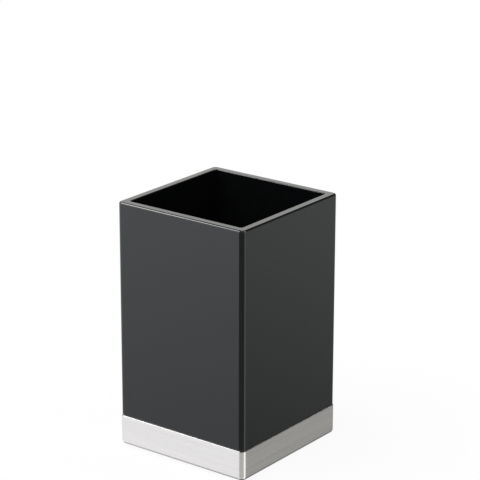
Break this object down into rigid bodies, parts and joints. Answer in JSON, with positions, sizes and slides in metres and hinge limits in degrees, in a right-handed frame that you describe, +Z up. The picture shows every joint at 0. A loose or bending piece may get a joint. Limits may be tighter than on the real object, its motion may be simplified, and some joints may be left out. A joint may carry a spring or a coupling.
{
  "type": "desk cup",
  "caption": "Square upright desk cup: thick gloss walls, an open top, and a foot seated in a drawn brushed-steel pan on round non-slip feet.",
  "frame": {"origin": "on the table under the middle of the cup, in the plane of the undersides of the feet", "axes": "+Z up along the cup's axis of symmetry; +X and +Y square to its flat sides"},
  "size_m": [0.0644, 0.0644, 0.107],
  "materials": {
    "gloss_black": "moulded high gloss",
    "brushed_steel": "brushed lengthwise, satin",
    "foam_tape": "closed-cell foam, double sided",
    "grip_rubber": "matt, slightly soft"
  },
  "bodies": {
    "root": {"cup_body": "gloss_black", "base_pan": "brushed_steel", "bond_pad": "foam_tape", "grip_foot_front_left": "grip_rubber", "grip_foot_front_right": "grip_rubber", "grip_foot_rear_left": "grip_rubber", "grip_foot_rear_right": "grip_rubber"}
  },
  "joints": []
}
